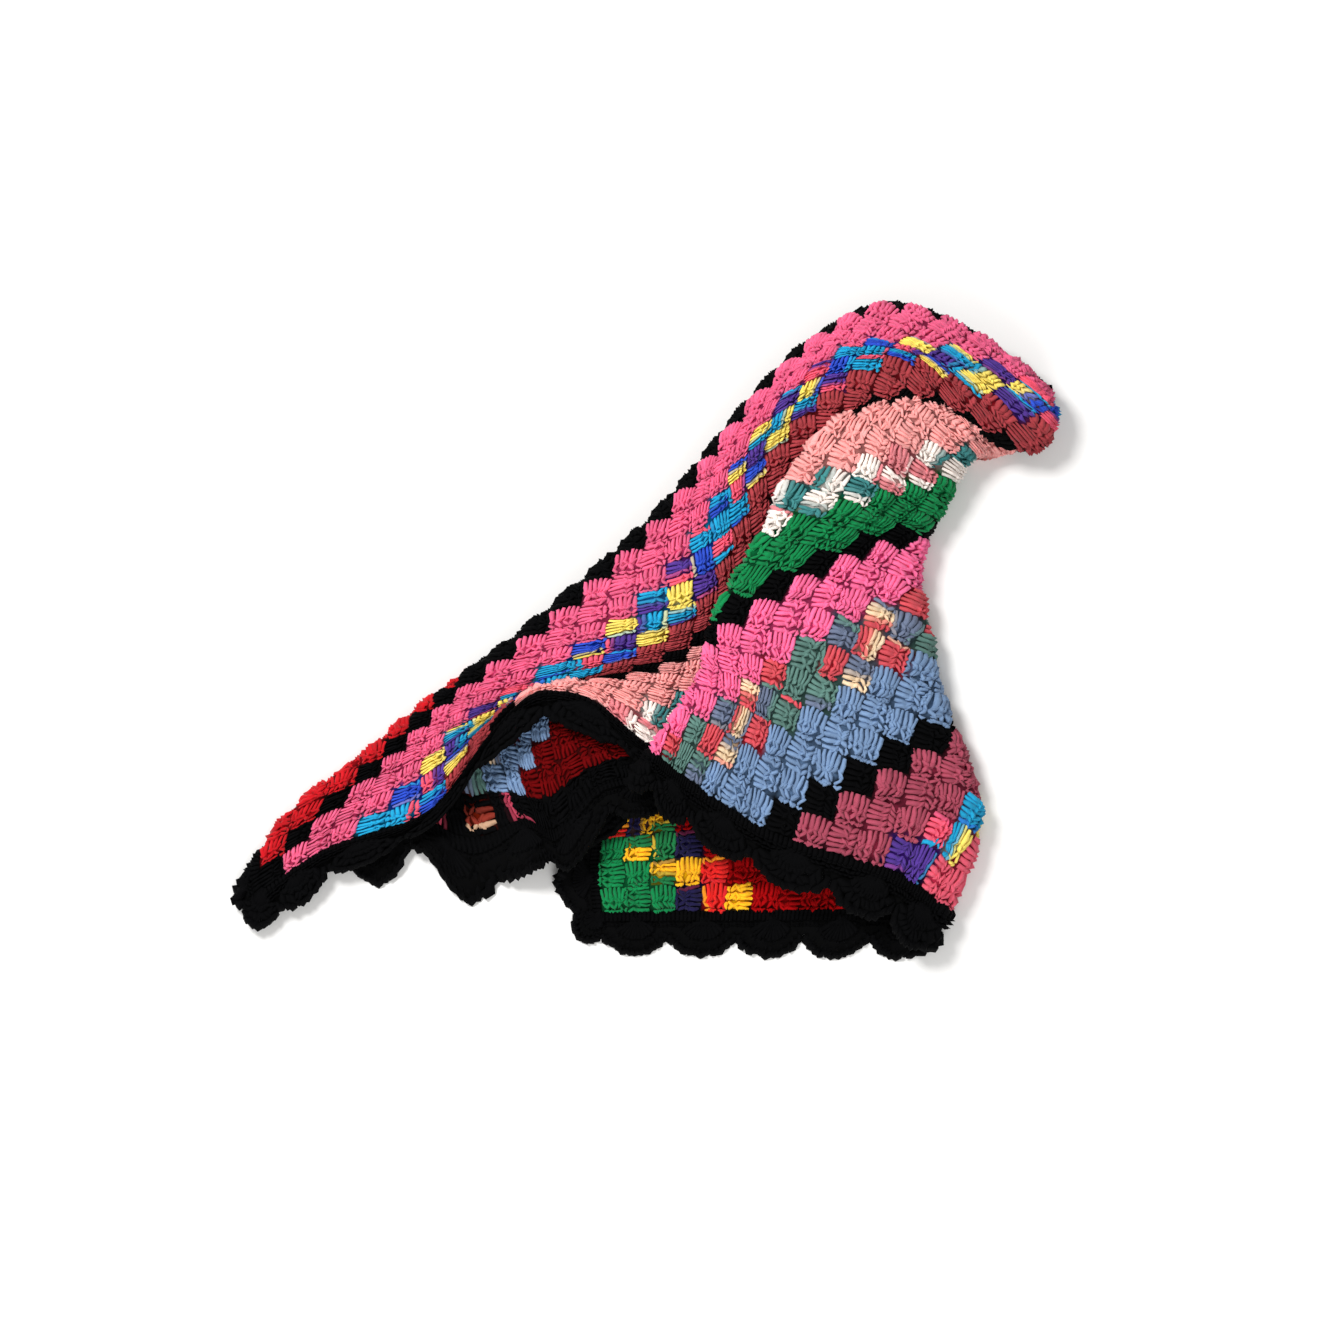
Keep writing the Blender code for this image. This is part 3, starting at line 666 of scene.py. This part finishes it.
    points = copies["Geometry"]
    for name, value in (("run", "yarn used"), ("across", "from middle"), ("shade", "shade")):
        points = add_node(tree, "GeometryNodeStoreNamedAttribute",
                          {"Geometry": points, "Name": name, "Value": values[value]})
    offset = add_node(tree, "ShaderNodeCombineXYZ", {0: values["sideways"], 1: values["late"]})
    turned = add_node(tree, "ShaderNodeVectorRotate", {"Vector": offset, "Angle": values["heading"]},
                      rotation_type="Z_AXIS")
    spread = add_node(tree, "GeometryNodeSetPosition", {"Geometry": points, "Offset": turned})
    euler = add_node(tree, "ShaderNodeCombineXYZ", {1: values["roll"], 2: values["way"]})
    rotation = add_node(tree, "FunctionNodeEulerToRotation", {0: euler})
    scale = add_node(tree, "ShaderNodeCombineXYZ",
                     {0: values["size"], 1: values["long"], 2: values["high"]})
    either_way = add_node(tree, "FunctionNodeRandomValue",
                          {"Min_002": 0, "Max_002": 1, "Seed": MIRROR_SEED}, data_type="INT")
    worked = add_node(tree, "GeometryNodeInstanceOnPoints", {
        "Points": spread, "Instance": both_ways, "Pick Instance": True,
        "Instance Index": either_way.outputs[2], "Rotation": rotation, "Scale": scale})
    real = add_node(tree, "GeometryNodeRealizeInstances", {"Geometry": worked})

    position = add_node(tree, "GeometryNodeInputPosition")
    noise = add_node(tree, "ShaderNodeTexNoise",
                     {"Vector": position, "Scale": WANDER_WAVES, "Detail": 1.0})
    centred = add_node(tree, "ShaderNodeVectorMath",
                       {0: noise.outputs["Color"], 1: (-0.5, -0.5, -0.5)}, operation="ADD")
    wandering = add_node(tree, "ShaderNodeVectorMath", {0: centred, "Scale": given["Wander"]},
                         operation="SCALE")
    uneven_work = add_node(tree, "GeometryNodeSetPosition", {"Geometry": real, "Offset": wandering})
    rounded = add_node(tree, "GeometryNodeSetShadeSmooth", {"Geometry": uneven_work})
    finished = add_node(tree, "GeometryNodeSetMaterial",
                        {"Geometry": rounded, "Material": given["Yarn material"]})
    add_node(tree, "NodeGroupOutput", {0: finished})
    return tree


def work_stitches(name, tree, points, settings, sheet):
    """Works stitches at these points of the flat pattern, and lays them on the folded sheet.

    A point is its i and j, the way its stitches run, their length against a block's, how far along
    the yarn it comes, and which face of the cloth the right side of its stitches is on.
    """
    data = bpy.data.meshes.new(f"{name}_points")
    table = np.array(points, float)
    data.from_pydata([(i * BLOCK, j * BLOCK, 0.0) for i, j in table[:, :2]], [], [])
    for key, values in zip(("heading", "stretch", "run", "roll"), table[:, 2:].T):
        data.attributes.new(key, "FLOAT", "POINT").data.foreach_set("value", values)
    guide = bpy.data.objects.new(f"{name}_guide", data)
    bpy.context.scene.collection.objects.link(guide)
    modifier = guide.modifiers.new("stitches", "NODES")
    modifier.node_group = tree
    for item in tree.interface.items_tree:
        if item.item_type == "SOCKET" and item.in_out == "INPUT" and item.name in settings:
            modifier[item.identifier] = settings[item.name]
    guide.update_tag()
    bpy.context.view_layer.update()
    evaluated = guide.evaluated_get(bpy.context.evaluated_depsgraph_get())
    mesh = bpy.data.meshes.new_from_object(evaluated)
    mesh.name = name
    bpy.data.objects.remove(guide)
    flat = np.empty(len(mesh.vertices) * 3, np.float32)
    mesh.vertices.foreach_get("co", flat)
    flat = flat.reshape(-1, 3).astype(float)
    laid = sheet.place(flat[:, 0] / BLOCK, flat[:, 1] / BLOCK, flat[:, 2])
    laid[:, 2] = np.maximum(laid[:, 2], FLOOR_GAP)  # the lowest yarn is pressed flat
    mesh.vertices.foreach_set("co", (laid * MM).astype(np.float32).ravel())
    mesh.update()
    piece = bpy.data.objects.new(name, mesh)
    bpy.context.scene.collection.objects.link(piece)
    return piece


def yarn_of(stripe):
    return next(yarn for first, last, yarn in BANDS if first <= stripe <= last)


def block_table():
    """Every block's yarn and how far along that yarn it comes; rows run one way and then back."""
    blocks = {}
    length = {yarn: BALL_START.get(yarn, 0) for yarn in YARNS}
    for stripe in range(-SHORT + 1, LONG):
        row = [(i, i - stripe) for i in range(LONG) if 0 <= i - stripe < SHORT]
        for block in row[::-1] if stripe % 2 else row:
            # The red stripe on the diagonal fold's turn is drawn black: painted shade.
            yarn = "black" if stripe == -1 and sum(block) > TURN_SHADE_FROM else yarn_of(stripe)
            if block[0] == 0 and stripe <= RUFFLE_FROM:
                yarn = "ruffle_mix" if stripe >= RUFFLE_SHOWS else "black"
            blocks[block] = (yarn, length[yarn])
            length[yarn] += 1
    return blocks


def turned_under(i, j):
    """Whether this place is past one of the two folds, where the cloth shows its other face."""
    fold = column(DIAGONAL_FOLD, 1, np.array([(i + j) / 2]))
    right = column(RIGHT_FOLD, 1, np.array([j]))
    return i - j < fold[0] or i > right[0]


def block_points(blocks):
    """The points of every block, by its yarn: one row stands along i and the next against j."""
    points = {}
    for (i, j), (yarn, run) in blocks.items():
        roll = math.pi if turned_under(i + 0.5, j + 0.5) else 0.0
        if (i - j) % 2:
            point = (i + 0.5, j + 1, math.pi, 1, run, roll)
        else:
            point = (i, j + 0.5, -math.pi / 2, 1, run, roll)
        points.setdefault(yarn, []).append(point)
    return points


def heading_of(direction):
    return math.atan2(-direction[0], direction[1])


def rim_distance(side, scallop_middle, foot, lean):
    """How far it is from a fan's foot to the scalloped rim, leaning this much, in blocks."""
    near, far = 0.0, 3.0  # the rim is between these, which come closer each time
    for _ in range(30):
        reach = (near + far) / 2
        along = scallop_middle + reach * math.sin(lean)
        if foot + reach * math.cos(lean) < scallop_reach(along, side.blocks, FAN_ROUNDNESS):
            near = reach
        else:
            far = reach
    return near


def edging_points():
    """The edging's stitches: a band of single stitches all round, then a fan in each scallop."""
    band, fans = [], []
    foot = FAN_FOOT / BLOCK
    for side in edging_sides():
        heading = heading_of(side.out)
        for n in range(side.blocks * STITCHES):
            band.append((*side.point((n + 0.5) / STITCHES, 0.0), heading, BAND_LENGTH, 0, 0))
        scallops = SCALLOPS[side.blocks]
        for scallop in range(scallops):
            middle = (scallop + 0.5) * side.blocks / scallops
            for n in range(FAN_STITCHES):
                lean = FAN_LEAN * ((n + 0.5) / FAN_STITCHES * 2 - 1)
                direction = side.along * math.sin(lean) + side.out * math.cos(lean)
                reach = rim_distance(side, middle, foot, lean) - FAN_SHORT
                fans.append((*side.point(middle, foot), heading_of(direction), reach, 0, 0))
        for n in range(CORNER_STITCHES):
            lean = (n + 0.5) / CORNER_STITCHES * math.pi / 2
            direction = side.along * math.sin(lean) + side.out * math.cos(lean)
            reach = (EDGING / BLOCK) * (1 + CORNER_BULGE * math.sin(2 * lean))
            fans.append((*side.point(side.blocks, 0), heading_of(direction), reach, 0, 0))
    return band, fans


def block_colour(yarn, run):
    """The colour that most of a block has, as three linear values."""
    at, stops = zip(*colour_stops(YARNS[yarn]))
    place = (run + 0.5) % repeat_of(YARNS[yarn])
    return [float(np.interp(place, at, channel)) for channel in list(zip(*stops))[:3]]


def ground_sheet(sheet, blocks):
    """The cloth itself: a thin closed sheet that the stitches stand on, coloured by its blocks, with
    painted shade along the seams between them.
    """
    per_block = 3
    groove, pad = 0.3, 1.0  # half the ground's thickness between the blocks and within them
    seam_painted_shade = 0.4  # painted shade: how dark the ground is painted between the blocks
    inset = 0.08  # blocks that the ground stays inside the edging's stitches
    margins = (1.0, 0.5, 0.1)  # shares of the edging's width where it has mesh lines
    nudge = 0.01  # blocks to each side at which a mesh line asks for the blocks beside it

    def axis(length):
        inner = [(n / per_block, 0.0) for n in range(length * per_block + 1)]
        return [(0.0, -m) for m in margins] + inner + [(float(length), m) for m in margins[::-1]]

    i, j = np.empty((2, len(axis(LONG)), len(axis(SHORT))))
    for m, (a, out_a) in enumerate(axis(LONG)):
        for n, (b, out_b) in enumerate(axis(SHORT)):
            corner = CORNER_REACH_SHARE if out_a and out_b else 1.0
            i[m, n] = a + out_a * (scallop_reach(b, SHORT) - inset) * corner
            j[m, n] = b + out_b * (scallop_reach(a, LONG) - inset) * corner
    flat_i, flat_j = i.ravel(), j.ravel()
    from_seam = np.minimum(np.abs(np.sin(math.pi * flat_i)), np.abs(np.sin(math.pi * flat_j)))
    within = from_seam > 0.1
    half = np.where(within, pad, groove)
    upper = sheet.place(flat_i, flat_j, half)
    lower = sheet.place(flat_i, flat_j, -half)
    index = np.arange(i.size).reshape(i.shape)
    quads = np.stack([index[:-1, :-1], index[1:, :-1], index[1:, 1:], index[:-1, 1:]], axis=-1)
    quads = quads.reshape(-1, 4)
    border = np.concatenate([index[:, 0], index[-1, 1:], index[-2::-1, -1], index[0, -2:0:-1]])
    after = np.roll(border, -1)
    walls = np.stack([after, border, border + i.size, after + i.size], axis=-1)
    faces = np.vstack([quads, quads[:, ::-1] + i.size, walls])
    data = bpy.data.meshes.new("crochet_ground")
    data.from_pydata((np.vstack([upper, lower]) * MM).tolist(), [], faces.tolist())
    data.shade_smooth()
    colours = []
    # At a seam the ground takes the darkest colour of the blocks beside it, and off the blocks' middles
    # it is darkened: painted shade in the gaps between the blocks.
    for a, b, inside in zip(flat_i, flat_j, within):
        beside = {(int(a + da + 1) - 1, int(b + db + 1) - 1)
                  for da in (-nudge, nudge) for db in (-nudge, nudge)}
        colour = min((block_colour(*blocks.get(block, ("black", 0))) for block in beside), key=sum)
        colours.append([*(value * (1.0 if inside else seam_painted_shade) for value in colour), 1.0])
    tint = data.attributes.new("ground", "FLOAT_COLOR", "POINT")
    tint.data.foreach_set("color", np.vstack([colours, colours]).astype(np.float32).ravel())
    data.materials.append(ground_material())
    piece = bpy.data.objects.new("crochet_ground", data)
    bpy.context.scene.collection.objects.link(piece)
    return piece


def build_afghan():
    sheet = FoldedSheet()
    tree = stitch_tree()
    blocks = block_table()
    materials = {name: yarn_material(name, colours) for name, colours in YARNS.items()}
    pieces = []
    for yarn, points in block_points(blocks).items():
        settings = {"Yarn material": materials[yarn]}
        pieces.append(work_stitches(f"shell_blocks_{yarn}", tree, points, settings, sheet))
    band, fans = edging_points()
    single = {"Stitches": 1, "Width": 0.0, "Fan": 0.0, "Wander": EDGING_WANDER, "Lean": EDGING_LEAN,
              "Yarn material": materials["black"]}
    for name, points, settings in (("edging_band", band, {"Yarn": BAND_YARN}),
                                   ("edging_scallops", fans, {"Yarn": FAN_YARN, "Thick": FAN_THICK})):
        pieces.append(work_stitches(name, tree, points, {**single, **settings}, sheet))
    ground = ground_sheet(sheet, blocks)
    for piece in [ground, *pieces]:
        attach(piece, "root")
        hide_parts("afghan")
    return sheet


def area_light(name, place, size, power):
    """A round light over this place, which shines at the middle of the frame."""
    data = bpy.data.lights.new(name, "AREA")
    data.shape = "DISK"
    data.size = size
    data.energy = power
    lamp = bpy.data.objects.new(name, data)
    lamp.location = place
    bpy.context.scene.collection.objects.link(lamp)
    x, y, z = place
    lamp.rotation_euler = (math.atan2(math.hypot(x, y), z), 0, math.atan2(-y, -x) - math.pi / 2)


def build_studio(sheet):
    """A pale floor, soft light from the far left and the front, and the camera above them."""
    floor_data = bpy.data.meshes.new("floor")
    reach = 6.0
    corners = [(-reach, -reach, 0), (reach, -reach, 0), (reach, reach, 0), (-reach, reach, 0)]
    floor_data.from_pydata(corners, [], [(0, 1, 2, 3)])
    floor = bpy.data.objects.new("floor", floor_data)
    bpy.context.scene.collection.objects.link(floor)
    # Matte white paper, which takes soft shadows and has no shine.
    paint = bpy.data.materials.new("matte_white_paper")
    paint.use_nodes = True
    shader = paint.node_tree.nodes["Principled BSDF"]
    shader.inputs["Base Color"].default_value = linear("#F4F3F1")
    shader.inputs["Roughness"].default_value = 0.9
    floor_data.materials.append(paint)

    world = bpy.data.worlds.new("studio")
    bpy.context.scene.world = world
    world.use_nodes = True
    sky = world.node_tree.nodes["Background"]
    sky.inputs["Color"].default_value = (1, 1, 1, 1)
    sky.inputs["Strength"].default_value = 0.49
    area_light("key", (-0.9, 1.0, 1.7), size=0.7, power=44)
    area_light("fill", (0.2, -1.5, 1.3), size=1.4, power=15)

    pixels, mm_a_pixel = 1322, 0.85
    zero_x, zero_y = 645, 635  # the pixel at which the layout's x and y are 0
    centre_x, centre_y = (pixels / 2 - zero_x) * mm_a_pixel, (zero_y - pixels / 2) * mm_a_pixel
    cloth_height = 0.03  # at which that scale holds
    data = bpy.data.cameras.new("camera")
    data.lens, data.sensor_width = 85, 36
    camera = bpy.data.objects.new("camera", data)
    across = pixels * mm_a_pixel * MM
    height = across * data.lens / data.sensor_width + cloth_height
    camera.location = ((centre_x - sheet.shift[0]) * MM, (centre_y - sheet.shift[1]) * MM, height)
    bpy.context.scene.collection.objects.link(camera)
    bpy.context.scene.camera = camera
    bpy.context.scene.view_settings.view_transform = "Standard"


build_studio(build_afghan())
